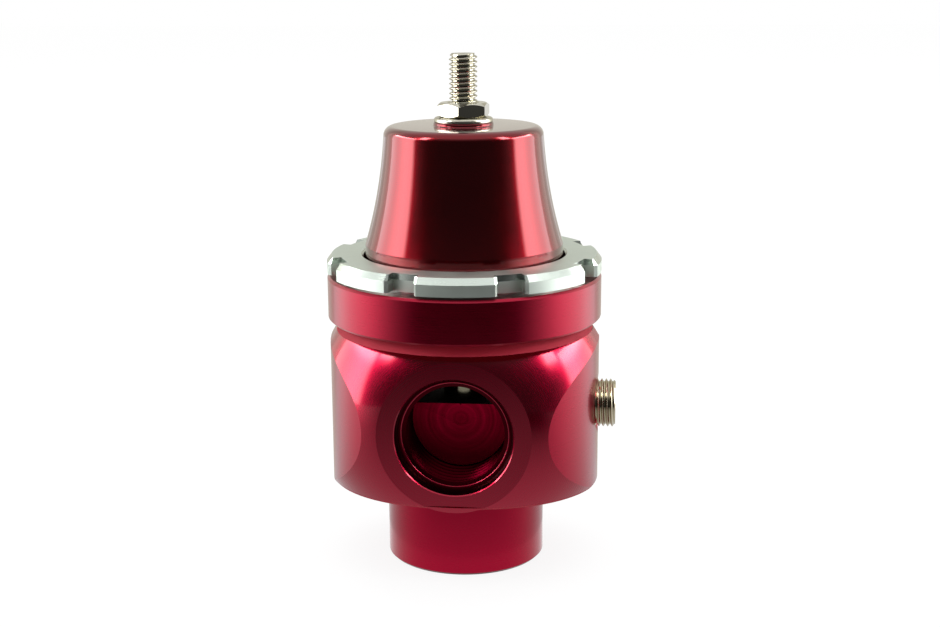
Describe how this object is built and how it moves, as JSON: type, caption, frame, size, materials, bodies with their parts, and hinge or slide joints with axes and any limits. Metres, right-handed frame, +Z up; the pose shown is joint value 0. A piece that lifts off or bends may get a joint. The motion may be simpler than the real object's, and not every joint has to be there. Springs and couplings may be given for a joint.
{
  "type": "fuel pressure regulator",
  "caption": "Adjustable fuel pressure regulator: red round body with large side inlets and a bottom return, bell bonnet clamped by a notched silver collar, locked adjuster screw on top.",
  "frame": {"origin": "on the main axis, in the plane of the return stub's end face, at the mouth of the return port", "axes": "+Z up the main axis from the return port to the adjuster, -Y out of the front inlet, +X out of the gauge port"},
  "size_m": [0.0618, 0.0624, 0.1084],
  "materials": {
    "red_anodised": "red anodised, satin turned",
    "satin_collar": "clear anodised, satin",
    "plain_aluminium": "turned",
    "bright_steel": "bright stainless",
    "ground_steel": "ground",
    "spring_steel": "drawn wire",
    "nickel_plug": "nickel plated",
    "plain_brass": "turned",
    "seal_rubber": "moulded"
  },
  "bodies": {
    "housing": {"body": "red_anodised", "bonnet": "red_anodised", "clamp_collar": "satin_collar", "locating_pin": "ground_steel", "adjuster_seal": "seal_rubber", "main_spring": "spring_steel", "diaphragm": "seal_rubber", "valve_seat": "ground_steel", "seat_oring": "seal_rubber", "gauge_plug": "nickel_plug", "reference_nipple": "plain_brass"},
    "adjuster_carriage": {"upper_spring_seat": "ground_steel", "thrust_ball": "ground_steel"},
    "adjuster": {"adjuster_screw": "bright_steel"},
    "nut_carriage": {"lock_washer": "bright_steel"},
    "nut": {"lock_nut": "bright_steel"},
    "valve": {"lower_spring_seat": "plain_aluminium", "diaphragm_plate": "plain_aluminium", "valve_stem": "ground_steel", "stem_nut": "bright_steel", "valve_ball": "ground_steel", "ball_retainer": "plain_brass"}
  },
  "joints": [
    {"name": "adjuster_turn", "type": "hinge", "parent": "adjuster_carriage", "child": "adjuster", "pos_m": [0, 0, 0.1], "axis": [0, 0, 1], "range_deg": [-2165, 725]},
    {"name": "adjuster_feed", "type": "slide", "parent": "housing", "child": "adjuster_carriage", "axis": [0, 0, 1], "range_m": [-0.006, 0.002], "deforming": ["main_spring"]},
    {"name": "nut_turn", "type": "hinge", "parent": "nut_carriage", "child": "nut", "pos_m": [0, 0, 0.097], "axis": [0, 0, 1], "range_deg": [0, 1085]},
    {"name": "nut_feed", "type": "slide", "parent": "housing", "child": "nut_carriage", "axis": [0, 0, 1], "range_m": [0, 0.003]},
    {"name": "valve_lift", "type": "slide", "parent": "housing", "child": "valve", "axis": [0, 0, 1], "range_m": [0, 0.0012], "stiffness_N_per_m": 3000, "springref_m": -0.01, "deforming": ["diaphragm", "main_spring"]}
  ],
  "couplings": [
    {"joint": "adjuster_turn", "follows": "adjuster_feed", "rad_per_m": 6283.2},
    {"joint": "nut_turn", "follows": "nut_feed", "rad_per_m": 6283.2}
  ]
}
